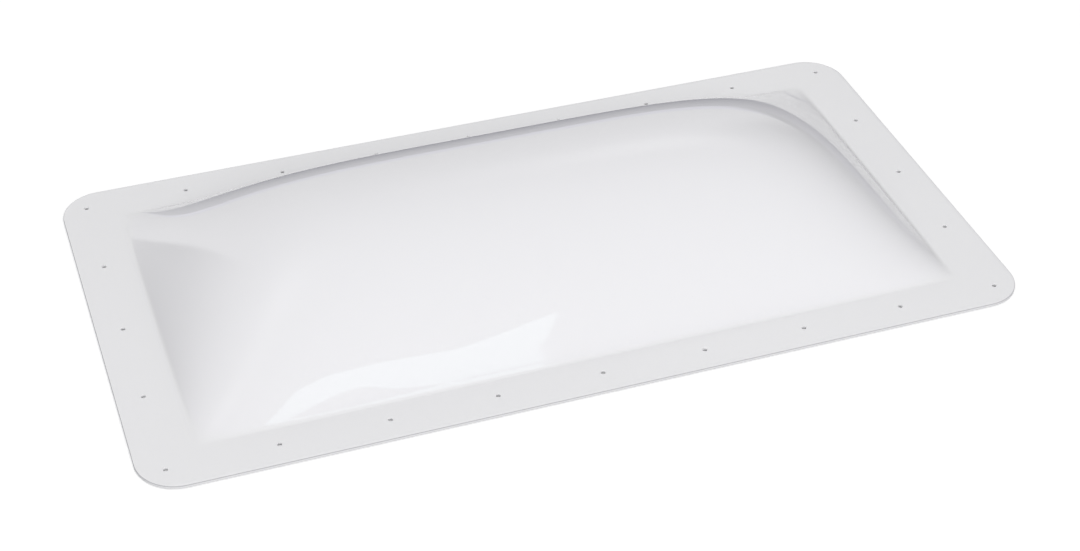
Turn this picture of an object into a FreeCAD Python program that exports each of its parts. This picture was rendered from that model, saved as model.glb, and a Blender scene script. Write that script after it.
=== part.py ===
import FreeCAD, Part
import Sketcher
import math
import os

# Rooflight for a caravan: one formed sheet of white polycarbonate, with a raised dome,
# a flat drilled flange and a hollow underside.
# Millimetres. +Z is up, +X runs along the long side, and the origin is at the middle
# of the flange's underside, which rests on the roof.

SIZES = (
    ("flange_length", 863.6),
    ("flange_width", 457.2),
    ("corner_radius", 40.0),
    ("sheet_thickness", 3.0),
    ("crown_thickness", 2.2),
    ("edge_break", 0.5),
    ("hole_diameter", 4.4),
    ("hole_inset", 25.4),
    ("long_side_holes", 9),
    ("short_side_holes", 5),
    ("end_border", 56.3),
    ("side_border", 48.4),
    ("dome_rise", 98.6),
    ("end_fullness", 4.6),
    ("side_fullness", 2.0),
    ("side_roundness", 0.87),
    ("fold_width", 8.0),
    ("flat_margin", 3.0),
)
FOLD_STEPS = 4
FOLD_STEP_SHARE = 0.35
STEP_GROWTH = 1.5
WIDEST_STEP = 11.0
BAND_STEPS = 6
CROWN_SHARE = 0.52
PROBE = 0.01
SNUG = 0.001

doc = FreeCAD.newDocument("rv_skylight")
sheet = doc.addObject("Spreadsheet::Sheet", "Sizes")


def fill_sheet():
    for row, (alias, value) in enumerate(SIZES, start=1):
        sheet.set("A%d" % row, alias)
        sheet.set("B%d" % row, str(value))
        sheet.setAlias("B%d" % row, alias)
    doc.recompute()


def size(alias):
    return float(sheet.get(alias))


def base_plane(body):
    for feature in body.Origin.OriginFeatures:
        if feature.Role == "XY_Plane":
            return feature


def base_sketch(body, name):
    sketch = body.newObject("Sketcher::SketchObject", name)
    sketch.AttachmentSupport = (base_plane(body), [""])
    sketch.MapMode = "FlatFace"
    return sketch


# A rectangle about the origin, with both sides bound to the sheet.
def add_rectangle(sketch, length_rule, width_rule):
    corners = ((-1, -1), (1, -1), (1, 1), (-1, 1))
    points = [FreeCAD.Vector(x, y, 0) for x, y in corners]
    for index in range(4):
        sketch.addGeometry(Part.LineSegment(points[index], points[(index + 1) % 4]), False)
    for index in range(4):
        sketch.addConstraint(Sketcher.Constraint("Coincident", index, 2, (index + 1) % 4, 1))
    for index in (0, 2):
        sketch.addConstraint(Sketcher.Constraint("Horizontal", index))
        sketch.addConstraint(Sketcher.Constraint("Vertical", index + 1))
    sketch.addConstraint(Sketcher.Constraint("Symmetric", 0, 1, 1, 2, -1, 1))
    length = sketch.addConstraint(Sketcher.Constraint("DistanceX", 0, 1, 0, 2, 2.0))
    width = sketch.addConstraint(Sketcher.Constraint("DistanceY", 1, 1, 1, 2, 2.0))
    sketch.setExpression("Constraints[%d]" % length, length_rule)
    sketch.setExpression("Constraints[%d]" % width, width_rule)


# A circle of the screw hole's size, placed by two rules measured from the origin.
def add_hole_circle(sketch, side_x, side_y, x_rule, y_rule):
    circle = Part.Circle(FreeCAD.Vector(side_x, side_y, 0), FreeCAD.Vector(0, 0, 1), 0.4)
    index = sketch.addGeometry(circle, False)
    across = sketch.addConstraint(Sketcher.Constraint("Diameter", index, 0.8))
    along_x = sketch.addConstraint(Sketcher.Constraint("DistanceX", -1, 1, index, 3, side_x))
    along_y = sketch.addConstraint(Sketcher.Constraint("DistanceY", -1, 1, index, 3, side_y))
    sketch.setExpression("Constraints[%d]" % across, "Sizes.hole_diameter")
    sketch.setExpression("Constraints[%d]" % along_x, x_rule)
    sketch.setExpression("Constraints[%d]" % along_y, y_rule)


# Cuts the sketch right through the sheet, upwards from its underside.
def cut_through(body, sketch, name):
    before = body.Tip.Shape.Volume
    pocket = body.newObject("PartDesign::Pocket", name)
    pocket.Profile = sketch
    pocket.Type = "Length"
    pocket.Reversed = True
    pocket.setExpression("Length", "2 * Sizes.sheet_thickness")
    doc.recompute()
    if pocket.Shape.Volume >= before:
        raise RuntimeError(name + " cuts nothing")
    return pocket


def repeat_along(body, pocket, sketch, axis, length_rule, count_rule, name):
    pattern = body.newObject("PartDesign::LinearPattern", name)
    pattern.Originals = [pocket]
    pattern.Direction = (sketch, [axis])
    pattern.setExpression("Length", length_rule)
    pattern.setExpression("Occurrences", count_rule)
    body.Tip = pattern
    doc.recompute()
    return pattern


def edge_names(shape, test):
    return ["Edge%d" % number for number, edge in enumerate(shape.Edges, start=1) if test(edge)]


# The flat flange: a rounded plate with a broken edge, a window for the dome and rows of screw holes.
def make_flange():
    body = doc.addObject("PartDesign::Body", "Flange")
    outline = base_sketch(body, "FlangeOutline")
    add_rectangle(outline, "Sizes.flange_length", "Sizes.flange_width")
    plate = body.newObject("PartDesign::Pad", "Plate")
    plate.Profile = outline
    plate.setExpression("Length", "Sizes.sheet_thickness")
    doc.recompute()

    corners = body.newObject("PartDesign::Fillet", "RoundedCorners")
    upright = edge_names(plate.Shape, lambda edge: edge.BoundBox.ZLength > 0.5 * size("sheet_thickness"))
    corners.Base = (plate, upright)
    corners.setExpression("Radius", "Sizes.corner_radius")
    doc.recompute()

    broken = body.newObject("PartDesign::Chamfer", "BrokenEdge")
    top = edge_names(corners.Shape, lambda edge: edge.BoundBox.ZMin > 0.5 * size("sheet_thickness"))
    broken.Base = (corners, top)
    broken.setExpression("Size", "Sizes.edge_break")
    doc.recompute()

    window = base_sketch(body, "DomeWindow")
    rule = "Sizes.%s - 2 * Sizes.%s + Sizes.fold_width + 2 * Sizes.flat_margin"
    add_rectangle(window, rule % ("flange_length", "end_border"), rule % ("flange_width", "side_border"))
    cut_through(body, window, "Window")

    row_x = "(Sizes.flange_length / 2 - Sizes.hole_inset)"
    row_y = "(Sizes.flange_width / 2 - Sizes.hole_inset)"
    step_y = "(2 * %s / (Sizes.short_side_holes - 1))" % row_y
    long_start = base_sketch(body, "LongRowStart")
    add_hole_circle(long_start, -2, -2, "-" + row_x, "-" + row_y)
    add_hole_circle(long_start, -2, 2, "-" + row_x, row_y)
    long_pocket = cut_through(body, long_start, "LongRowHoles")
    repeat_along(body, long_pocket, long_start, "H_Axis", "2 * " + row_x, "Sizes.long_side_holes", "LongRows")

    short_start = base_sketch(body, "ShortRowStart")
    first_y = "%s - %s" % (step_y, row_y)
    add_hole_circle(short_start, -2, -2, "-" + row_x, first_y)
    add_hole_circle(short_start, 2, -2, row_x, first_y)
    short_pocket = cut_through(body, short_start, "ShortRowHoles")
    short_length = "2 * (%s - %s)" % (row_y, step_y)
    repeat_along(body, short_pocket, short_start, "V_Axis", short_length, "Sizes.short_side_holes - 2", "ShortRows")
    return body


# A straight ramp whose foot is rounded off over a half width each side of zero.
def eased(value, half_width):
    if value <= -half_width:
        return 0.0
    if value >= half_width:
        return value
    return (value + half_width) ** 2 / (4 * half_width)


# Half the length or width of the dome's foot, in the middle of the fold.
def foot_reach(whole, border):
    return size(whole) / 2 - size(border)


# Height of the outer skin above the flange's top face: a steep end by an arched side.
def skin_rise(x, y):
    half_length = foot_reach("flange_length", "end_border")
    half_width = foot_reach("flange_width", "side_border")
    fold = size("fold_width") / 2
    end_power = size("end_fullness")
    side_power = size("side_fullness")
    end = eased(1 - abs(x / half_length) ** end_power, fold * end_power / half_length)
    side = eased(1 - abs(y / half_width) ** side_power, fold * side_power / half_width)
    return size("dome_rise") * end * side ** size("side_roundness")


# The sheet stretches as it rises, so it is thinnest at the crown.
def skin_thickness(rise):
    stretch = rise / size("dome_rise")
    return size("sheet_thickness") - (size("sheet_thickness") - size("crown_thickness")) * stretch


# Stations from one side to the other: close together over the folds, then widening up the walls.
def stations(half):
    steps = [FOLD_STEP_SHARE * size("fold_width")] * FOLD_STEPS
    while sum(steps) < half:
        steps.append(min(steps[-1] * STEP_GROWTH, WIDEST_STEP))
    stretch = half / sum(steps)
    side = [stretch * sum(steps[:count]) - half for count in range(len(steps))]
    return side + [0.0] + [-place for place in reversed(side)]


# A point of the outer skin, and the one straight below it on the inner skin.
def skin_points(x, y):
    rise = skin_rise(x, y)
    slope_x = (skin_rise(x + PROBE, y) - skin_rise(x - PROBE, y)) / (2 * PROBE)
    slope_y = (skin_rise(x, y + PROBE) - skin_rise(x, y - PROBE)) / (2 * PROBE)
    depth = skin_thickness(rise) * math.sqrt(1 + slope_x ** 2 + slope_y ** 2)
    top = size("sheet_thickness") + rise
    return FreeCAD.Vector(x, y, top), FreeCAD.Vector(x, y, top - depth)


# The smooth curve that passes each point at its own place along the curve.
def curve_through(points, places):
    curve = Part.BSplineCurve()
    curve.interpolate(Points=points, Parameters=places)
    return curve


# The smooth surface through rows of points: first a curve along each row, then curves across them.
def surface_through(rows, row_places, point_places):
    along = [curve_through(row, point_places) for row in rows]
    across = [curve_through(line, row_places) for line in zip(*[curve.getPoles() for curve in along])]
    poles = list(zip(*[curve.getPoles() for curve in across]))
    surface = Part.BSplineSurface()
    surface.buildFromPolesMultsKnots(
        poles,
        across[0].getMultiplicities(),
        along[0].getMultiplicities(),
        across[0].getKnots(),
        along[0].getKnots(),
        False,
        False,
        across[0].Degree,
        along[0].Degree,
    )
    return surface


# The window's half length and half width: where the skins meet the flat flange.
def window_reach():
    border = size("fold_width") / 2 + size("flat_margin")
    return foot_reach("flange_length", "end_border") + border, foot_reach("flange_width", "side_border") + border


# Where a skin is divided lengthwise or across: a narrow band over each fold, and the rest between them.
def band_places(places):
    return [places[0], places[BAND_STEPS], places[-1 - BAND_STEPS], places[-1]]


# The flatter crown is a length of its own between the two steep ends.
def crown_place(places):
    return min(places, key=lambda place: abs(place - CROWN_SHARE * places[-1]))


def divided(surface, cuts_x, cuts_y):
    patches = []
    for low_x, high_x in zip(cuts_x, cuts_x[1:]):
        for low_y, high_y in zip(cuts_y, cuts_y[1:]):
            patch = surface.copy()
            patch.segment(low_x, high_x, low_y, high_y)
            patches.append(patch.toShape())
    return Part.makeShell(patches)


# The dome's outer and inner skins, on the same stations.
def make_skins():
    reach_x, reach_y = window_reach()
    places_x = stations(reach_x)
    places_y = stations(reach_y)
    crown = crown_place(places_x)
    cuts_x = sorted(band_places(places_x) + [-crown, crown])
    cuts_y = band_places(places_y)
    pairs = [[skin_points(x, y) for y in places_y] for x in places_x]
    skins = []
    for side, name in enumerate(("OuterSkin", "InnerSkin")):
        rows = [[pair[side] for pair in row] for row in pairs]
        skin = doc.addObject("Part::Feature", name)
        skin.Shape = divided(surface_through(rows, places_x, places_y), cuts_x, cuts_y)
        skins.append(skin)
    return skins


# True for the four upright faces of the window, which the dome's skins take the place of.
def is_window_wall(face):
    reach_x, reach_y = window_reach()
    box = face.BoundBox
    across_x = box.XLength < SNUG and abs(abs(box.XMin) - reach_x) < SNUG
    across_y = box.YLength < SNUG and abs(abs(box.YMin) - reach_y) < SNUG
    return across_x or across_y


# Closes the flange and the two skins into one solid sheet.
def join(flange, skins):
    faces = [face for face in flange.Shape.Faces if not is_window_wall(face)]
    if len(faces) != len(flange.Shape.Faces) - 4:
        raise RuntimeError("the window has no four walls")
    shell = Part.makeShell(faces + [face for skin in skins for face in skin.Shape.Faces])
    shell.sewShape()
    solid = Part.makeSolid(shell)
    if solid.Volume < 0:
        solid.reverse()
    whole = doc.addObject("Part::Feature", "Skylight")
    whole.Label = "skylight_dome"
    whole.Shape = solid
    doc.recompute()
    return whole


def check(parts):
    for item in doc.Objects:
        if "Invalid" in item.State or "Error" in item.State:
            raise RuntimeError("failed object " + item.Name)
    for part in parts:
        if part.Shape.isNull() or not part.Shape.isValid():
            raise RuntimeError("bad shape " + part.Label)
        if len(part.Shape.Solids) != 1 or not part.Shape.Solids[0].isClosed():
            raise RuntimeError("%s isn't one closed solid" % part.Label)


def main():
    fill_sheet()
    flange = make_flange()
    whole = join(flange, make_skins())
    check([flange, whole])
    os.makedirs("parts", exist_ok=True)
    whole.Shape.exportStep("parts/%s.step" % whole.Label)
    box = whole.Shape.BoundBox
    print("box %.1f x %.1f x %.1f mm" % (box.XLength, box.YLength, box.ZLength))
    print("volume %.0f mm3" % whole.Shape.Volume)


main()
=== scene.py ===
import bpy
import math
from mathutils import Matrix, Vector


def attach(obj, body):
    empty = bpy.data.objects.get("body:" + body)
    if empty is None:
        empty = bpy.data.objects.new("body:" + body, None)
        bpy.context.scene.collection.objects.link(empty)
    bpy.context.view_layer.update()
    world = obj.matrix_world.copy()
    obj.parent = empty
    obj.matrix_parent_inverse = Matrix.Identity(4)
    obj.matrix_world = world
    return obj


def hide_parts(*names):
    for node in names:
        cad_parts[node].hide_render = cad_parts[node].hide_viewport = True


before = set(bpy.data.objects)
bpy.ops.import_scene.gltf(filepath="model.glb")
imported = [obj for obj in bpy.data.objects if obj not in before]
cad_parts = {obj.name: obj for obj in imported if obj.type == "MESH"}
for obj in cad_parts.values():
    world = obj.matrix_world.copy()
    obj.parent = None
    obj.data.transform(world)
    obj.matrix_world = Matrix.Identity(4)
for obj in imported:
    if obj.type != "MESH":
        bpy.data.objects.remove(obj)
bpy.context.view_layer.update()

# Rooflight: one sheet of white polycarbonate, formed into a dome inside a flat drilled flange.
# Metres. The origin is at the middle of the flange's underside, +X along the long side, +Z up.
FLANGE_LENGTH = 0.8636
FLANGE_WIDTH = 0.4572
CORNER_RADIUS = 0.040
SHEET = 0.0030
CROWN_SHEET = 0.0022
FOOT_LENGTH = 0.7510
FOOT_WIDTH = 0.3604
RISE = 0.0986
FOLD = 0.0055
HOLE = 0.0044
HOLE_INSET = 0.0254
LONG_HOLES = 9
SHORT_HOLES = 5
DEBURR = 0.0002
DRILL_OVERRUN = 0.001

# The powers of the dome's sections. A high one gives steep walls and a flat top, and 2 a parabola.
END_FULLNESS = 4.6
SIDE_FULLNESS = 2.0
SIDE_ROUNDNESS = 0.87

# The cut edge's profile, from the upper face down: inset from the outline, and height.
EDGE_PROFILE = [
    (0.00050, 0.00300),
    (0.00025, 0.00293),
    (0.00007, 0.00275),
    (0.00000, 0.00250),
    (0.00000, 0.00165),
    (0.00000, 0.00085),
    (0.00000, 0.00030),
    (0.00009, 0.00009),
    (0.00030, 0.00000),
]

# The mesh: how far from the foot line the shoulder and the fold begin and end, and the longest steps.
SHOULDER_START = 0.022
FOLD_START = 0.0050
FOLD_END = 0.0036
DOME_STEP = 0.0050
SHOULDER_STEP = 0.0020
FOLD_STEP = 0.0006
FLANGE_STEP = 0.0040
CORNER_STEP = 0.0034
DRILL_SIDES = 32

# Edges that turn by more than this many degrees stay sharp.
SHARP_ANGLE = 32

# The dome's slope is measured this far to each side of a point.
PROBE = 0.0001

# What a face's "cut_face" mark says.
UNCUT = 0.0
SAWN = 1.0
DRILLED = 2.0

# Kinds of node socket.
NUMBER = "NodeSocketFloat"
WHOLE = "NodeSocketInt"
SHAPE = "NodeSocketGeometry"
FINISH = "NodeSocketMaterial"
ARROW = "NodeSocketVector"


# Gives a socket its value, which is another socket or a plain one.
def feed(tree, socket, value):
    if isinstance(value, bpy.types.NodeSocket):
        tree.links.new(value, socket)
    elif value is not None:
        socket.default_value = value


def add_node(tree, kind, settings=None, **inputs):
    node = tree.nodes.new(kind)
    for name, value in (settings or {}).items():
        setattr(node, name, value)
    for name, value in inputs.items():
        feed(tree, node.inputs[name.replace("_", " ")], value)
    return node


# Number nodes, a function for each kind: plus(tree, a, b) adds a node and returns its output.
def number_node(operation):
    def add(tree, first, second=None):
        node = add_node(tree, "ShaderNodeMath", {"operation": operation})
        feed(tree, node.inputs[0], first)
        feed(tree, node.inputs[1], second)
        return node.outputs[0]

    return add


plus = number_node("ADD")
minus = number_node("SUBTRACT")
times = number_node("MULTIPLY")
over = number_node("DIVIDE")
power = number_node("POWER")
root = number_node("SQRT")
size_of = number_node("ABSOLUTE")
sign_of = number_node("SIGN")
least = number_node("MINIMUM")
most = number_node("MAXIMUM")
is_above = number_node("GREATER_THAN")
is_below = number_node("LESS_THAN")


# Picks one of two values by a test.
def pick(tree, kind, test, if_true, if_false):
    node = add_node(tree, "GeometryNodeSwitch", {"input_type": kind}, Switch=test)
    feed(tree, node.inputs["False"], if_false)
    feed(tree, node.inputs["True"], if_true)
    return node.outputs[0]


def new_group(name, kind, inputs, outputs):
    tree = bpy.data.node_groups.new(name, kind)
    for label, socket_kind, value in inputs:
        socket = tree.interface.new_socket(label, in_out="INPUT", socket_type=socket_kind)
        if value is not None:
            socket.default_value = value
    for label, socket_kind in outputs:
        tree.interface.new_socket(label, in_out="OUTPUT", socket_type=socket_kind)
    return tree, tree.nodes.new("NodeGroupInput").outputs, tree.nodes.new("NodeGroupOutput").inputs


def place_group(tree, kind, group, **inputs):
    node = tree.nodes.new(kind)
    node.node_tree = group
    for name, value in inputs.items():
        feed(tree, node.inputs[name.replace("_", " ")], value)
    return node.outputs


def point_position(tree):
    position = add_node(tree, "GeometryNodeInputPosition")
    return add_node(tree, "ShaderNodeSeparateXYZ", Vector=position.outputs[0]).outputs


# The dome's section one way: 1 at the middle and 0 at the foot, where a parabola rounds off the fold.
def make_section_group():
    tree, given, result = new_group(
        "dome_section",
        "GeometryNodeTree",
        [("Place", NUMBER, 0.0), ("Half", NUMBER, 0.3), ("Fullness", NUMBER, 2.0), ("Fold", NUMBER, FOLD)],
        [("Height", NUMBER)],
    )
    share = size_of(tree, over(tree, given["Place"], given["Half"]))
    height = minus(tree, 1.0, power(tree, share, given["Fullness"]))
    half_fold = times(tree, given["Fold"], 0.5)
    reach = over(tree, times(tree, half_fold, given["Fullness"]), given["Half"])
    inside = least(tree, most(tree, height, times(tree, reach, -1.0)), reach)
    raised = plus(tree, inside, reach)
    curve = over(tree, times(tree, raised, raised), times(tree, reach, 4.0))
    above = most(tree, minus(tree, height, reach), 0.0)
    tree.links.new(plus(tree, curve, above), result["Height"])
    return tree


DOME_SIZES = [
    ("Foot Length", NUMBER, FOOT_LENGTH),
    ("Foot Width", NUMBER, FOOT_WIDTH),
    ("Rise", NUMBER, RISE),
    ("End Fullness", NUMBER, END_FULLNESS),
    ("Side Fullness", NUMBER, SIDE_FULLNESS),
    ("Side Roundness", NUMBER, SIDE_ROUNDNESS),
    ("Fold", NUMBER, FOLD),
]


# How high the outer skin stands above the flange at X, Y.
def make_rise_group(section):
    inputs = [("X", NUMBER, 0.0), ("Y", NUMBER, 0.0)] + DOME_SIZES
    tree, given, result = new_group("dome_rise", "GeometryNodeTree", inputs, [("Height", NUMBER)])
    heights = []
    for place, foot, fullness in (("X", "Foot Length", "End Fullness"), ("Y", "Foot Width", "Side Fullness")):
        made = place_group(
            tree, "GeometryNodeGroup", section,
            Place=given[place], Half=times(tree, given[foot], 0.5),
            Fullness=given[fullness], Fold=given["Fold"],
        )
        heights.append(made["Height"])
    side = power(tree, heights[1], given["Side Roundness"])
    tree.links.new(times(tree, times(tree, heights[0], side), given["Rise"]), result["Height"])
    return tree


# Forms the flat sheet: its upper face rises into the dome, and its lower face keeps the sheet's thickness.
def make_forming_tree(rise_group):
    sheet_sizes = [("Sheet", NUMBER, SHEET), ("Crown Sheet", NUMBER, CROWN_SHEET), ("Probe", NUMBER, PROBE)]
    inputs = [("Geometry", SHAPE, None)] + DOME_SIZES + sheet_sizes + [("Skin", FINISH, None)]
    tree, given, result = new_group("formed_dome", "GeometryNodeTree", inputs, [("Geometry", SHAPE)])
    x, y, z = point_position(tree)
    dome_sizes = {label.replace(" ", "_"): given[label] for label, kind, value in DOME_SIZES}

    def rise_at(at_x, at_y):
        return place_group(tree, "GeometryNodeGroup", rise_group, X=at_x, Y=at_y, **dome_sizes)["Height"]

    def slope(ahead, behind):
        return over(tree, minus(tree, ahead, behind), times(tree, given["Probe"], 2.0))

    rise = rise_at(x, y)
    ahead_x, behind_x = (shift(tree, x, given["Probe"]) for shift in (plus, minus))
    ahead_y, behind_y = (shift(tree, y, given["Probe"]) for shift in (plus, minus))
    slope_x = slope(rise_at(ahead_x, y), rise_at(behind_x, y))
    slope_y = slope(rise_at(x, ahead_y), rise_at(x, behind_y))
    squares = plus(tree, times(tree, slope_x, slope_x), times(tree, slope_y, slope_y))
    steepness = root(tree, plus(tree, squares, 1.0))
    stretch = over(tree, rise, given["Rise"])
    thinned = times(tree, minus(tree, given["Sheet"], given["Crown Sheet"]), stretch)
    inward = over(tree, minus(tree, given["Sheet"], thinned), steepness)
    lower = add_node(
        tree, "ShaderNodeCombineXYZ",
        X=times(tree, slope_x, inward),
        Y=times(tree, slope_y, inward),
        Z=minus(tree, plus(tree, rise, given["Sheet"]), inward),
    )
    upper = add_node(tree, "ShaderNodeCombineXYZ", Z=rise)
    is_upper = is_above(tree, z, times(tree, given["Sheet"], 0.5))
    offset = pick(tree, "VECTOR", is_upper, upper.outputs[0], lower.outputs[0])
    moved = add_node(tree, "GeometryNodeSetPosition", Geometry=given["Geometry"], Offset=offset)
    whole = add_node(tree, "GeometryNodeRealizeInstances", Geometry=moved.outputs[0])
    finished = add_node(tree, "GeometryNodeSetMaterial", Geometry=whole.outputs[0], Material=given["Skin"])
    tree.links.new(finished.outputs[0], result["Geometry"])
    return tree


# The places of the holes: a grid over the flange, without the points that lie inside its border.
def hole_places(tree, given, place):
    inside_share = 0.49
    grid = add_node(
        tree, "GeometryNodeMeshGrid",
        Size_X=given["Row Length"], Size_Y=given["Row Width"],
        Vertices_X=given["Long Side Holes"], Vertices_Y=given["Short Side Holes"],
    )
    inside = [
        is_below(tree, size_of(tree, place[axis]), times(tree, given[row], inside_share))
        for axis, row in (("X", "Row Length"), ("Y", "Row Width"))
    ]
    rows = add_node(
        tree, "GeometryNodeDeleteGeometry", {"domain": "POINT"},
        Geometry=grid.outputs["Mesh"], Selection=times(tree, inside[0], inside[1]),
    )
    return rows.outputs[0]


# The drill: a lathe-turned cutter, narrow inside the sheet and flared just above and below it.
# It starts as a cylinder 1 high with four rings of points, at 0.5 and about 0.17 above and below its middle.
def turned_drill(tree, given, place):
    between_rings = 0.3
    cylinder = add_node(
        tree, "GeometryNodeMeshCylinder",
        Vertices=DRILL_SIDES, Side_Segments=3, Fill_Segments=1, Radius=1.0, Depth=1.0,
    )
    z = place["Z"]
    is_narrow = is_below(tree, size_of(tree, z), between_rings)
    half_sheet = times(tree, given["Sheet"], 0.5)
    hole_radius = times(tree, given["Hole Diameter"], 0.5)
    flare = plus(tree, plus(tree, hole_radius, given["Deburr"]), given["Overrun"])
    radius = pick(tree, "FLOAT", is_narrow, hole_radius, flare)
    within = minus(tree, half_sheet, given["Deburr"])
    beyond = plus(tree, half_sheet, given["Overrun"])
    from_middle = times(tree, sign_of(tree, z), pick(tree, "FLOAT", is_narrow, within, beyond))
    turned = add_node(
        tree, "ShaderNodeCombineXYZ",
        X=times(tree, place["X"], radius),
        Y=times(tree, place["Y"], radius),
        Z=plus(tree, half_sheet, from_middle),
    )
    drill = add_node(
        tree, "GeometryNodeSetPosition", Geometry=cylinder.outputs["Mesh"], Position=turned.outputs[0]
    )
    marked = add_node(
        tree, "GeometryNodeStoreNamedAttribute", {"data_type": "FLOAT", "domain": "FACE"},
        Geometry=drill.outputs[0], Name="cut_face", Value=DRILLED,
    )
    return marked.outputs[0]


# Drills the rows of screw holes round the flange, each with a slight countersink left by deburring.
def make_drilling_tree():
    tree, given, result = new_group(
        "screw_holes",
        "GeometryNodeTree",
        [
            ("Geometry", SHAPE, None),
            ("Row Length", NUMBER, FLANGE_LENGTH - 2 * HOLE_INSET),
            ("Row Width", NUMBER, FLANGE_WIDTH - 2 * HOLE_INSET),
            ("Long Side Holes", WHOLE, LONG_HOLES),
            ("Short Side Holes", WHOLE, SHORT_HOLES),
            ("Hole Diameter", NUMBER, HOLE),
            ("Deburr", NUMBER, DEBURR),
            ("Sheet", NUMBER, SHEET),
            ("Overrun", NUMBER, DRILL_OVERRUN),
            ("Skin", FINISH, None),
            ("Sawn Edge", FINISH, None),
            ("Drilled Wall", FINISH, None),
        ],
        [("Geometry", SHAPE)],
    )
    place = point_position(tree)
    drills = add_node(
        tree, "GeometryNodeInstanceOnPoints",
        Points=hole_places(tree, given, place), Instance=turned_drill(tree, given, place),
    )
    solid_drills = add_node(tree, "GeometryNodeRealizeInstances", Geometry=drills.outputs[0])
    drilled = add_node(
        tree, "GeometryNodeMeshBoolean", {"operation": "DIFFERENCE", "solver": "EXACT"},
        Mesh_1=given["Geometry"], Mesh_2=solid_drills.outputs[0],
    )
    whole = add_node(tree, "GeometryNodeRealizeInstances", Geometry=drilled.outputs["Mesh"])
    dressed = add_node(tree, "GeometryNodeSetMaterial", Geometry=whole.outputs[0], Material=given["Skin"])
    mark = add_node(tree, "GeometryNodeInputNamedAttribute", {"data_type": "FLOAT"}, Name="cut_face")
    for label, least_mark in (("Sawn Edge", SAWN), ("Drilled Wall", DRILLED)):
        is_cut = is_above(tree, mark.outputs["Attribute"], least_mark - 0.5)
        dressed = add_node(
            tree, "GeometryNodeSetMaterial",
            Geometry=dressed.outputs[0], Selection=is_cut, Material=given[label],
        )
    tree.links.new(dressed.outputs[0], result["Geometry"])
    return tree


# Runs trees over a mesh, one after another, and returns the plain mesh that they make.
def run_trees(obj, steps):
    for tree, values in steps:
        modifier = obj.modifiers.new(tree.name, "NODES")
        modifier.node_group = tree
        for item in tree.interface.items_tree:
            if item.in_out == "INPUT" and item.name in values:
                modifier[item.identifier] = values[item.name]
    bpy.context.view_layer.update()
    evaluated = obj.evaluated_get(bpy.context.evaluated_depsgraph_get())
    made = bpy.data.meshes.new_from_object(evaluated)
    obj.modifiers.clear()
    return made


def even_steps(start, end, longest):
    count = max(1, math.ceil((end - start) / longest))
    return [start + (end - start) * index / count for index in range(1, count + 1)]


# Lines of the sheet's mesh on both sides of its middle: fine over the fold, so that its curve stays smooth.
def sheet_lines(half, foot, inset):
    lines = [0.0]
    for end, longest in (
        (foot - SHOULDER_START, DOME_STEP),
        (foot - FOLD_START, SHOULDER_STEP),
        (foot + FOLD_END, FOLD_STEP),
        (half - CORNER_RADIUS, FLANGE_STEP),
        (half - inset, CORNER_STEP),
    ):
        lines += even_steps(lines[-1], end, longest)
    return [-line for line in reversed(lines[1:])] + lines


# Points of the flat sheet, whose four corners are rounded off by bending the mesh lines round them.
def sheet_points(inset):
    half_length, half_width = FLANGE_LENGTH / 2, FLANGE_WIDTH / 2
    radius = CORNER_RADIUS - inset
    points = []
    for x in sheet_lines(half_length, FOOT_LENGTH / 2, inset):
        row = []
        for y in sheet_lines(half_width, FOOT_WIDTH / 2, inset):
            u = (abs(x) - half_length + CORNER_RADIUS) / radius
            v = (abs(y) - half_width + CORNER_RADIUS) / radius
            if u > 0 and v > 0:
                bent_u = u * math.sqrt(1 - v * v / 2)
                bent_v = v * math.sqrt(1 - u * u / 2)
                new_x = math.copysign(half_length - CORNER_RADIUS + radius * bent_u, x)
                new_y = math.copysign(half_width - CORNER_RADIUS + radius * bent_v, y)
                row.append((new_x, new_y))
            else:
                row.append((x, y))
        points.append(row)
    return points


# The row and column of each point round the border of the sheet's mesh.
def border_of(long_count, short_count):
    places = [(i, 0) for i in range(long_count - 1)]
    places += [(long_count - 1, j) for j in range(short_count - 1)]
    places += [(i, short_count - 1) for i in range(long_count - 1, 0, -1)]
    places += [(0, j) for j in range(short_count - 1, 0, -1)]
    return places


# The flat sheet before forming: upper and lower faces joined by the sawn and broken edge.
def flat_sheet():
    upper = sheet_points(EDGE_PROFILE[0][0])
    lower = sheet_points(EDGE_PROFILE[-1][0])
    long_count, short_count = len(upper), len(upper[0])
    vertices = [(x, y, SHEET) for row in upper for x, y in row]
    vertices += [(x, y, 0.0) for row in lower for x, y in row]
    below = long_count * short_count
    faces = []
    marks = []
    for i in range(long_count - 1):
        for j in range(short_count - 1):
            here = i * short_count + j
            beside = here + short_count
            faces.append((here, beside, beside + 1, here + 1))
            faces.append((below + here, below + here + 1, below + beside + 1, below + beside))
            marks += [UNCUT, UNCUT]
    border = border_of(long_count, short_count)
    loops = [[i * short_count + j for i, j in border]]
    for inset, height in EDGE_PROFILE[1:-1]:
        ring = sheet_points(inset)
        loops.append(range(len(vertices), len(vertices) + len(border)))
        vertices += [ring[i][j] + (height,) for i, j in border]
    loops.append([below + i * short_count + j for i, j in border])
    for over_loop, under_loop in zip(loops, loops[1:]):
        for index in range(len(border)):
            after = (index + 1) % len(border)
            faces.append((over_loop[after], over_loop[index], under_loop[index], under_loop[after]))
            marks.append(SAWN)
    mesh = bpy.data.meshes.new("flat_sheet")
    mesh.from_pydata(vertices, [], faces)
    mesh.attributes.new("cut_face", "FLOAT", "FACE").data.foreach_set("value", marks)
    mesh.update()
    return mesh


def link_new(name, data):
    obj = bpy.data.objects.new(name, data)
    bpy.context.scene.collection.objects.link(obj)
    return obj


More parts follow.
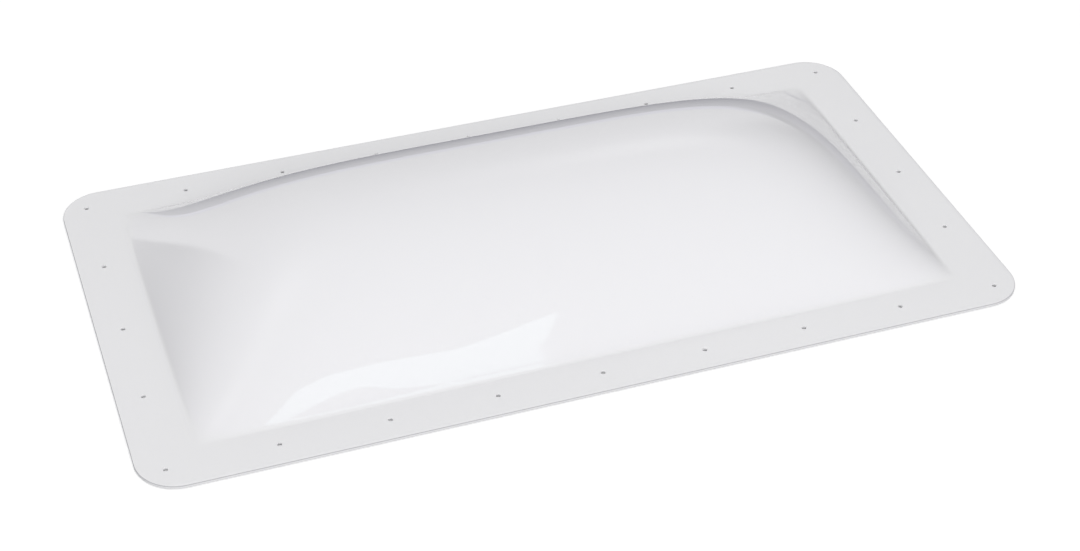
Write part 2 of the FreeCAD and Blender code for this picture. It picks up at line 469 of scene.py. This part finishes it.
def make_dome(skin, sawn_edge, drilled_wall):
    blank = link_new("flat_sheet", flat_sheet())
    forming = make_forming_tree(make_rise_group(make_section_group()))
    finishes = {"Skin": skin, "Sawn Edge": sawn_edge, "Drilled Wall": drilled_wall}
    mesh = run_trees(blank, [(forming, finishes), (make_drilling_tree(), finishes)])
    bpy.data.objects.remove(blank)
    mesh.name = "formed_skylight"
    mesh.shade_smooth()
    mesh.set_sharp_from_angle(angle=math.radians(SHARP_ANGLE))
    dome = link_new("formed_skylight", mesh)
    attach(dome, "root")
    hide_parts("skylight_dome")


# The finishes. Colours are linear, and the groups' sizes are in metres.
POLYCARBONATE_IOR = 1.585

# The opal sheet: its tones, the heights between which one gives way to the other, and its faint clouds.
FLAT_TONE = (0.805, 0.804, 0.818, 1)
FORMED_TONE = (0.810, 0.807, 0.829, 1)
FORMED_FROM = 0.0032
FORMED_TO = 0.0068
CLOUDS_PER_METRE = 5.0
CLOUD_LOW = 0.3
CLOUD_HIGH = 0.7
CLOUDING = 0.06
TRANSLUCENCY = 0.15

# The sawn edge: its tones, the heights between which painted shade darkens its upper break into a thin dark
# line, and the saw's marks.
EDGE_SHADE_TONE = (0.44, 0.44, 0.46, 1)
SAWN_TONE = (0.81, 0.81, 0.82, 1)
EDGE_SHADE_FROM = 0.0020
EDGE_SHADE_TO = 0.0026
SAW_MARKS_PER_METRE = 1400.0
SAW_MARK_STRETCH = (1.0, 1.0, 0.08)
SAW_MARK_SHARE = 0.25

# The drilled walls: their tones, the heights between which their painted shade gives way to a light lip, and
# the drill's rings.
HOLE_SHADE_TONE = (0.30, 0.30, 0.31, 1)
HOLE_LIP_TONE = (0.88, 0.88, 0.89, 1)
HOLE_FOOT = 0.0002
HOLE_LIP = 0.0018
DRILL_RING_STRETCH = (0.15, 0.15, 1.0)

# The less polished patches in the gloss, and the dust and scratches of handling.
PATCHES_PER_WAVE = 2.3
PATCH_LOW = 0.42
PATCH_HIGH = 0.72
SPECK_CORE = 0.05
SPECK_RIM = 0.22
DUST_DRIFTS_PER_METRE = 14.0
DRIFT_GAIN = 2.0
DUST_COVER = 0.55
DUST_ROUGHNESS = 0.25
SCRATCH_ROUGHNESS = 0.10
SCRATCH_THINNESS = 32.0
SCRATCH_WIDTH = 0.16

# The sets of scratches: how far each is turned, in radians, and shifted.
SCRATCH_TURNS = [(0.55, 1.7), (-0.8, 8.3), (1.35, 15.1)]

# What the gloss and wear groups are given for each finish, the depth of its bump, and its dust's colour.
OPAL_FINISH = {
    "gloss": {"Wave_Size": 0.11, "Grain_Size": 0.0014, "Grain_Share": 0.0015, "Smooth": 0.020, "Dull": 0.055},
    "wear": {"Speck_Size": 0.0026, "Speck_Amount": 0.02, "Scratch_Length": 0.045, "Scratch_Amount": 0.02},
    "depth": 0.0004,
    "dust": (0.70, 0.69, 0.67, 1),
}
SAWN_FINISH = {
    "gloss": {"Wave_Size": 0.004, "Grain_Size": 0.0005, "Grain_Share": 0.6, "Smooth": 0.38, "Dull": 0.55},
    "wear": {"Speck_Size": 0.0012, "Speck_Amount": 0.06, "Scratch_Length": 0.01, "Scratch_Amount": 0.05},
    "depth": 0.00003,
    "dust": (0.55, 0.54, 0.52, 1),
}
DRILLED_FINISH = {
    "gloss": {"Wave_Size": 0.0006, "Grain_Size": 0.0002, "Grain_Share": 0.5, "Smooth": 0.35, "Dull": 0.5},
    "wear": {"Speck_Size": 0.0006, "Speck_Amount": 0.08, "Scratch_Length": 0.004, "Scratch_Amount": 0.04},
    "depth": 0.00002,
    "dust": (0.40, 0.39, 0.37, 1),
}


def new_material(name):
    material = bpy.data.materials.new(name)
    material.use_nodes = True
    tree = material.node_tree
    tree.nodes.clear()
    return material, tree, tree.nodes.new("ShaderNodeOutputMaterial").inputs["Surface"]


def blended(tree, share, first, second):
    node = add_node(tree, "ShaderNodeMix", {"data_type": "RGBA", "clamp_factor": True}, Factor=share)
    feed(tree, node.inputs[6], first)
    feed(tree, node.inputs[7], second)
    return node.outputs[2]


def ranged(tree, value, start, end, low=0.0, high=1.0, shape="SMOOTHSTEP"):
    node = add_node(
        tree, "ShaderNodeMapRange", {"interpolation_type": shape},
        Value=value, From_Min=start, From_Max=end, To_Min=low, To_Max=high,
    )
    return node.outputs["Result"]


# Slow waves and a faint grain that forming leaves in the sheet's gloss, and its less polished patches.
def make_sheet_gloss_group():
    tree, given, result = new_group(
        "sheet_gloss",
        "ShaderNodeTree",
        [
            ("Vector", ARROW, None),
            ("Wave Size", NUMBER, 0.09),
            ("Grain Size", NUMBER, 0.0016),
            ("Grain Share", NUMBER, 0.02),
            ("Smooth", NUMBER, 0.06),
            ("Dull", NUMBER, 0.12),
        ],
        [("Height", NUMBER), ("Roughness", NUMBER)],
    )

    def cloudy(per_size, label, **inputs):
        scale = over(tree, per_size, given[label])
        noise = add_node(tree, "ShaderNodeTexNoise", Vector=given["Vector"], Scale=scale, **inputs)
        return noise.outputs["Fac"]

    waves = cloudy(1.0, "Wave Size", Detail=1.5, Roughness=0.4)
    grain = cloudy(1.0, "Grain Size", Detail=1.0)
    tree.links.new(plus(tree, waves, times(tree, grain, given["Grain Share"])), result["Height"])
    patches = cloudy(PATCHES_PER_WAVE, "Wave Size", Detail=4.0, Roughness=0.62)
    dulled = ranged(tree, patches, PATCH_LOW, PATCH_HIGH, given["Smooth"], given["Dull"])
    tree.links.new(dulled, result["Roughness"])
    return tree


# Dust and hairline scratches: two masks, 1 where they are.
def make_wear_group():
    tree, given, result = new_group(
        "handling_wear",
        "ShaderNodeTree",
        [
            ("Vector", ARROW, None),
            ("Speck Size", NUMBER, 0.0022),
            ("Speck Amount", NUMBER, 0.10),
            ("Scratch Length", NUMBER, 0.05),
            ("Scratch Amount", NUMBER, 0.03),
        ],
        [("Dust", NUMBER), ("Scratches", NUMBER)],
    )

    # Cells of one size: how far a point is from its cell's middle, and a lot drawn for the cell.
    def cells(place, label):
        node = add_node(
            tree, "ShaderNodeTexVoronoi", {"feature": "F1"}, Vector=place, Scale=over(tree, 1.0, given[label])
        )
        lots = add_node(tree, "ShaderNodeSeparateColor", Color=node.outputs["Color"])
        return node.outputs["Distance"], lots.outputs

    distance, lots = cells(given["Vector"], "Speck Size")
    speck = ranged(tree, distance, SPECK_CORE, SPECK_RIM, 1.0, 0.0, "LINEAR")
    drift = add_node(
        tree, "ShaderNodeTexNoise", Vector=given["Vector"], Scale=DUST_DRIFTS_PER_METRE, Detail=3.0
    )
    amount = times(tree, times(tree, drift.outputs["Fac"], DRIFT_GAIN), given["Speck Amount"])
    tree.links.new(times(tree, speck, is_below(tree, lots[0], amount)), result["Dust"])

    lines = None
    for turn, shift in SCRATCH_TURNS:
        turned = add_node(
            tree, "ShaderNodeMapping",
            Vector=given["Vector"], Rotation=(0, 0, turn), Location=(shift, shift, 0),
        )
        stretched = add_node(tree, "ShaderNodeVectorMath", {"operation": "MULTIPLY"})
        feed(tree, stretched.inputs[0], turned.outputs[0])
        feed(tree, stretched.inputs[1], (1.0, SCRATCH_THINNESS, 1.0))
        distance, lots = cells(stretched.outputs[0], "Scratch Length")
        is_line = is_below(tree, distance, SCRATCH_WIDTH)
        shown = times(tree, is_line, is_below(tree, lots[1], given["Scratch Amount"]))
        lines = shown if lines is None else most(tree, lines, shown)
    tree.links.new(lines, result["Scratches"])
    return tree


# A polycarbonate shader in one tone, with the waves, patches, dust and scratches of its finish.
def add_plastic(tree, surface, place, groups, tone, finish):
    shader = add_node(tree, "ShaderNodeBsdfPrincipled", IOR=POLYCARBONATE_IOR)
    gloss = place_group(tree, "ShaderNodeGroup", groups["gloss"], Vector=place, **finish["gloss"])
    wear = place_group(tree, "ShaderNodeGroup", groups["wear"], Vector=place, **finish["wear"])
    dusty = blended(tree, times(tree, wear["Dust"], DUST_COVER), tone, finish["dust"])
    tree.links.new(dusty, shader.inputs["Base Color"])
    by_dust = times(tree, wear["Dust"], DUST_ROUGHNESS)
    worn = plus(tree, by_dust, times(tree, wear["Scratches"], SCRATCH_ROUGHNESS))
    tree.links.new(plus(tree, gloss["Roughness"], worn), shader.inputs["Roughness"])
    bump = add_node(tree, "ShaderNodeBump", Height=gloss["Height"], Distance=finish["depth"], Strength=1.0)
    tree.links.new(bump.outputs[0], shader.inputs["Normal"])
    tree.links.new(shader.outputs[0], surface)
    return shader


def object_place(tree):
    place = add_node(tree, "ShaderNodeTexCoord").outputs["Object"]
    return place, add_node(tree, "ShaderNodeSeparateXYZ", Vector=place).outputs["Z"]


# White opal polycarbonate. The formed part gets a slightly lighter, bluer tone than the flat flange: painted
# light, which sets how bright each part looks.
def make_opal_sheet(groups):
    material, tree, surface = new_material("opal_polycarbonate")
    place, height = object_place(tree)
    cloud = add_node(tree, "ShaderNodeTexNoise", Vector=place, Scale=CLOUDS_PER_METRE, Detail=2.0)
    clouding = ranged(tree, cloud.outputs["Fac"], CLOUD_LOW, CLOUD_HIGH, -CLOUDING, CLOUDING, "LINEAR")
    formed = plus(tree, ranged(tree, height, FORMED_FROM, FORMED_TO), clouding)
    # Painted light: the tone blends from the flange's tone to the formed part's slightly lighter one.
    tone = blended(tree, formed, FLAT_TONE, FORMED_TONE)
    shader = add_plastic(tree, surface, place, groups, tone, OPAL_FINISH)
    shader.inputs["Subsurface Weight"].default_value = TRANSLUCENCY
    shader.inputs["Subsurface Radius"].default_value = (1.0, 1.0, 1.0)
    shader.inputs["Subsurface Scale"].default_value = SHEET
    return material


# The sawn edge: matt and scored across the sheet, with painted shade that makes it darkest along its upper
# break.
def make_sawn_edge_and_painted_shade(groups):
    material, tree, surface = new_material("sawn_polycarbonate_with_painted_shade")
    place, height = object_place(tree)
    scored = add_node(tree, "ShaderNodeMapping", Vector=place, Scale=SAW_MARK_STRETCH).outputs[0]
    marks = add_node(
        tree, "ShaderNodeTexNoise", Vector=scored, Scale=SAW_MARKS_PER_METRE, Detail=2.0, Roughness=0.6
    )
    # Painted shade: the upper break takes the dark tone, which draws a thin dark line along the sheet's edge.
    body = times(tree, ranged(tree, height, EDGE_SHADE_FROM, EDGE_SHADE_TO, 1.0, 0.0), 1 - SAW_MARK_SHARE)
    light = plus(tree, body, times(tree, marks.outputs["Fac"], SAW_MARK_SHARE))
    add_plastic(tree, surface, scored, groups, blended(tree, light, EDGE_SHADE_TONE, SAWN_TONE), SAWN_FINISH)
    return material


# The drilled holes' walls: scored round by the drill, with painted shade that darkens them towards the roof,
# where no light comes from.
def make_drilled_wall(groups):
    material, tree, surface = new_material("drilled_polycarbonate_with_painted_shade")
    place, height = object_place(tree)
    rings = add_node(tree, "ShaderNodeMapping", Vector=place, Scale=DRILL_RING_STRETCH).outputs[0]
    # Painted shade: the walls darken from the lip down to the hole's foot.
    tone = blended(tree, ranged(tree, height, HOLE_FOOT, HOLE_LIP), HOLE_SHADE_TONE, HOLE_LIP_TONE)
    add_plastic(tree, surface, rings, groups, tone, DRILLED_FINISH)
    return material


# The studio: a light tent over the part. Its directions are degrees round from +X, and its lifts are degrees
# up from the floor. The tent's tones go by direction. The gloss shows one set, and the other lights the part.
FLOOR_REACH = 9.0
FLOOR_DROP = 0.0006
FLOOR_PAINT = (0.8, 0.8, 0.8, 1)
FLOOR_GLOW = 0.30
MAT_DROP = 0.0004
MAT_REACH = 0.95
MAT_TONE = 0.23
GROUND_COLOUR = (0.84, 0.83, 1.0)
GROUND_STEPS = 180
TENT_REACH = 4.5
TENT_STEPS = 240
TENT_ROWS = 48
TENT_TOP_LIFT = 89.5
TENT_FOOT_SEEN = [
    (0, 0.03), (44, 0.03), (58, 0.70), (100, 0.70), (116.8, 1.0), (119.0, 0.08),
    (180, 0.30), (240, 0.95), (310, 0.95), (340, 0.10), (360, 0.03),
]
TENT_FOOT_SENT = [
    (0, 0.22), (48, 0.22), (62, 0.82), (100, 0.86), (150, 0.70), (175, 0.38), (200, 0.38),
    (240, 0.96), (310, 0.96), (345, 0.26), (360, 0.22),
]

# The lift at which the tent's wall has passed into its ceiling, by direction.
TENT_WALL_TOP = [(0, 62), (50, 62), (80, 45), (150, 48), (240, 70), (310, 70), (330, 62), (360, 62)]
CEILING_SEEN = 0.60
CEILING_SENT = 0.845

# The walls lean as they rise: the degrees that they turn for each degree of lift above the second number.
WALL_LEAN = 0.31
LEAN_FROM = 7

# Soft lights behind the tent's cloth: direction, lift, width, height and strength.
TENT_GLOWS = [(150, 65, 32, 8, 0.55), (59, 36, 13, 7, 0.55)]

# The front diffuser hangs level. Its outline makes the long highlight at the dome's near foot.
DIFFUSER_HEIGHT = 2.0
DIFFUSER_STRENGTH = 1.85
DIFFUSER_COLOUR = (0.86, 1.0, 1.0)
FRONT_DIFFUSER = [
    (-0.36, -1.13), (-0.30, -1.20), (-0.24, -1.27), (-0.03, -1.50), (0.13, -1.65), (0.31, -1.81),
    (0.44, -1.90), (0.54, -1.81), (0.60, -1.66), (0.65, -1.54), (0.69, -1.95), (0.78, -2.55),
    (0.93, -3.20), (1.10, -3.90), (0.75, -3.90), (0.50, -3.20), (0.39, -2.83), (0.28, -2.46),
    (0.18, -2.20), (0.06, -2.03), (-0.06, -1.97), (-0.15, -1.80), (-0.50, -1.13),
]

# The front light, the world and the camera.
SOFTBOX_PLACE = (-0.30, -3.95, 3.10)
SOFTBOX_WIDTH = 3.0
SOFTBOX_HEIGHT = 2.2
SOFTBOX_POWER = 76.5
WORLD_LIGHT = 0.78
WORLD_SEEN = 1.0
WHITE = (1, 1, 1, 1)
CAMERA_PLACE = (-0.54884, -1.56521, 1.25742)
CAMERA_AHEAD = (0.26527, 0.74315, -0.61430)
CAMERA_RIGHT = (0.94409, -0.32957, 0.00897)
CAMERA_LENS = 69.79


# 1 for what is seen, straight or in a reflection or through the part, and 0 for light on its way to the part.
def is_looked_at(tree):
    path = tree.nodes.new("ShaderNodeLightPath").outputs
    return most(tree, most(tree, path["Is Camera Ray"], path["Is Glossy Ray"]), path["Is Transmission Ray"])


# The floor shows white to the camera and in reflections, and still takes the object's shadow.
def make_floor():
    material, tree, surface = new_material("studio_floor")
    paint = add_node(tree, "ShaderNodeBsdfDiffuse", Color=FLOOR_PAINT)
    light = times(tree, is_looked_at(tree), FLOOR_GLOW)
    glow = add_node(tree, "ShaderNodeEmission", Color=WHITE, Strength=light)
    both = tree.nodes.new("ShaderNodeAddShader")
    tree.links.new(paint.outputs[0], both.inputs[0])
    tree.links.new(glow.outputs[0], both.inputs[1])
    tree.links.new(both.outputs[0], surface)
    mesh = bpy.data.meshes.new("studio_floor")
    quarters = ((-1, -1), (1, -1), (1, 1), (-1, 1))
    corners = [(FLOOR_REACH * x, FLOOR_REACH * y, -FLOOR_DROP) for x, y in quarters]
    mesh.from_pydata(corners, [], [(0, 1, 2, 3)])
    mesh.materials.append(material)
    link_new("studio_floor", mesh)


# A glowing surface of the studio. Its corners may hold what the gloss sees there and what light it sends.
def add_glow(name, corners, faces, strength=1.0, colour=(1, 1, 1), seen=None, sent=None):
    material, tree, surface = new_material(name)
    level = strength
    if seen:
        choice = add_node(
            tree, "ShaderNodeMix", {"data_type": "FLOAT"},
            Factor=tree.nodes.new("ShaderNodeLightPath").outputs["Is Glossy Ray"],
        )
        for slot, attribute in ((2, "sent"), (3, "seen")):
            painted = add_node(tree, "ShaderNodeAttribute", {"attribute_name": attribute})
            tree.links.new(painted.outputs["Fac"], choice.inputs[slot])
        level = choice.outputs[0]
    glow = add_node(tree, "ShaderNodeEmission", Color=colour + (1,), Strength=level)
    tree.links.new(glow.outputs[0], surface)
    mesh = bpy.data.meshes.new(name)
    mesh.from_pydata(corners, [], faces)
    for attribute, values in (("seen", seen), ("sent", sent)):
        if values:
            mesh.attributes.new(attribute, "FLOAT", "POINT").data.foreach_set("value", values)
    mesh.materials.append(material)
    card = link_new(name, mesh)
    for ray in ("camera", "transmission", "volume_scatter", "shadow"):
        setattr(card, "visible_" + ray, False)
    return card


def eased(share):
    share = min(max(share, 0.0), 1.0)
    return share * share * (3 - 2 * share)


# The tone at one direction, eased between the directions that are listed.
def between(places, at):
    at %= 360
    for (start, low), (end, high) in zip(places, places[1:]):
        if at <= end:
            return low + (high - low) * eased((at - start) / (end - start))
    return places[-1][1]


def round_place(turn, reach, height):
    return (reach * math.cos(math.radians(turn)), reach * math.sin(math.radians(turn)), height)


# The ground that only the gloss sees: a dark mat under the part, then the ground out to the tent's foot.
def make_ground():
    corners = [(0.0, 0.0, -MAT_DROP)]
    seen = [MAT_TONE]
    faces = []
    for reach, tone in ((MAT_REACH, MAT_TONE), (MAT_REACH, None), (TENT_REACH, None)):
        for step in range(GROUND_STEPS):
            turn = 360 * step / GROUND_STEPS
            corners.append(round_place(turn, reach, -MAT_DROP))
            seen.append(between(TENT_FOOT_SEEN, turn) if tone is None else tone)
    inner, outer = 1 + GROUND_STEPS, 1 + 2 * GROUND_STEPS
    for step in range(GROUND_STEPS):
        after = (step + 1) % GROUND_STEPS
        faces.append((0, 1 + step, 1 + after))
        faces.append((inner + step, outer + step, outer + after, inner + after))
    ground = add_glow("studio_ground", corners, faces, colour=GROUND_COLOUR, seen=seen, sent=seen)
    ground.visible_diffuse = False


# How bright the tent looks in the gloss: leaning walls, a ceiling and the soft lights behind its cloth.
def tent_seen(turn, lift):
    foot = between(TENT_FOOT_SEEN, turn - WALL_LEAN * (lift - LEAN_FROM))
    level = foot + (CEILING_SEEN - foot) * eased(lift / between(TENT_WALL_TOP, turn))
    for glow_turn, glow_lift, width, height, strength in TENT_GLOWS:
        aside, above = (turn - glow_turn) / width, (lift - glow_lift) / height
        level += strength * math.exp(-aside * aside - above * above)
    return level


def tent_sent(turn, lift):
    foot = between(TENT_FOOT_SENT, turn)
    return foot + (CEILING_SENT - foot) * eased(lift / between(TENT_WALL_TOP, turn))


# The light tent round the studio. It is darkest at the part's two ends.
def make_tent():
    corners, seen, sent, faces = [], [], [], []
    for row in range(TENT_ROWS + 1):
        lift = TENT_TOP_LIFT * row / TENT_ROWS
        reach = math.cos(math.radians(lift)) * TENT_REACH
        height = math.sin(math.radians(lift)) * TENT_REACH
        for step in range(TENT_STEPS):
            turn = 360 * step / TENT_STEPS
            corners.append(round_place(turn, reach, height))
            seen.append(tent_seen(turn, lift))
            sent.append(tent_sent(turn, lift))
    for row in range(TENT_ROWS):
        for step in range(TENT_STEPS):
            here = row * TENT_STEPS + step
            beside = row * TENT_STEPS + (step + 1) % TENT_STEPS
            faces.append((here, beside, beside + TENT_STEPS, here + TENT_STEPS))
    faces.append(tuple(range(TENT_ROWS * TENT_STEPS, (TENT_ROWS + 1) * TENT_STEPS)))
    add_glow("light_tent", corners, faces, seen=seen, sent=sent)


# What the gloss shows of the front light: a long, bent diffuser hung level over the front.
def make_front_diffuser():
    corners = [(x, y, DIFFUSER_HEIGHT) for x, y in FRONT_DIFFUSER]
    outline = [tuple(range(len(corners)))]
    card = add_glow("front_diffuser", corners, outline, DIFFUSER_STRENGTH, DIFFUSER_COLOUR)
    card.visible_diffuse = False


def make_world():
    world = bpy.data.worlds.new("studio")
    bpy.context.scene.world = world
    world.use_nodes = True
    tree = world.node_tree
    tree.nodes.clear()
    extra = times(tree, is_looked_at(tree), WORLD_SEEN - WORLD_LIGHT)
    back = add_node(tree, "ShaderNodeBackground", Color=WHITE, Strength=plus(tree, extra, WORLD_LIGHT))
    tree.links.new(back.outputs[0], tree.nodes.new("ShaderNodeOutputWorld").inputs["Surface"])


# The front light, aimed at the part. The gloss shows the front diffuser in its place.
def make_softbox():
    lamp = bpy.data.lights.new("front_softbox", "AREA")
    lamp.shape = "RECTANGLE"
    lamp.size = SOFTBOX_WIDTH
    lamp.size_y = SOFTBOX_HEIGHT
    lamp.energy = SOFTBOX_POWER
    softbox = link_new("front_softbox", lamp)
    place = Vector(SOFTBOX_PLACE)
    softbox.matrix_world = Matrix.Translation(place) @ (-place).to_track_quat("-Z", "Y").to_matrix().to_4x4()
    softbox.visible_camera = False
    softbox.visible_glossy = False


# The camera stands where the photograph was taken from.
def make_camera():
    data = bpy.data.cameras.new("camera")
    data.sensor_fit = "HORIZONTAL"
    data.sensor_width = 36.0
    data.lens = CAMERA_LENS
    data.clip_start = 0.05
    data.clip_end = 50.0
    camera = link_new("camera", data)
    ahead = Vector(CAMERA_AHEAD).normalized()
    right = Vector(CAMERA_RIGHT)
    right = (right - ahead * right.dot(ahead)).normalized()
    turn = Matrix((right, right.cross(ahead), -ahead)).transposed()
    camera.matrix_world = Matrix.Translation(CAMERA_PLACE) @ turn.to_4x4()
    bpy.context.scene.camera = camera


groups = {"gloss": make_sheet_gloss_group(), "wear": make_wear_group()}
make_dome(make_opal_sheet(groups), make_sawn_edge_and_painted_shade(groups), make_drilled_wall(groups))
make_floor()
make_ground()
make_tent()
make_front_diffuser()
make_world()
make_softbox()
make_camera()
bpy.context.scene.view_settings.view_transform = "Standard"
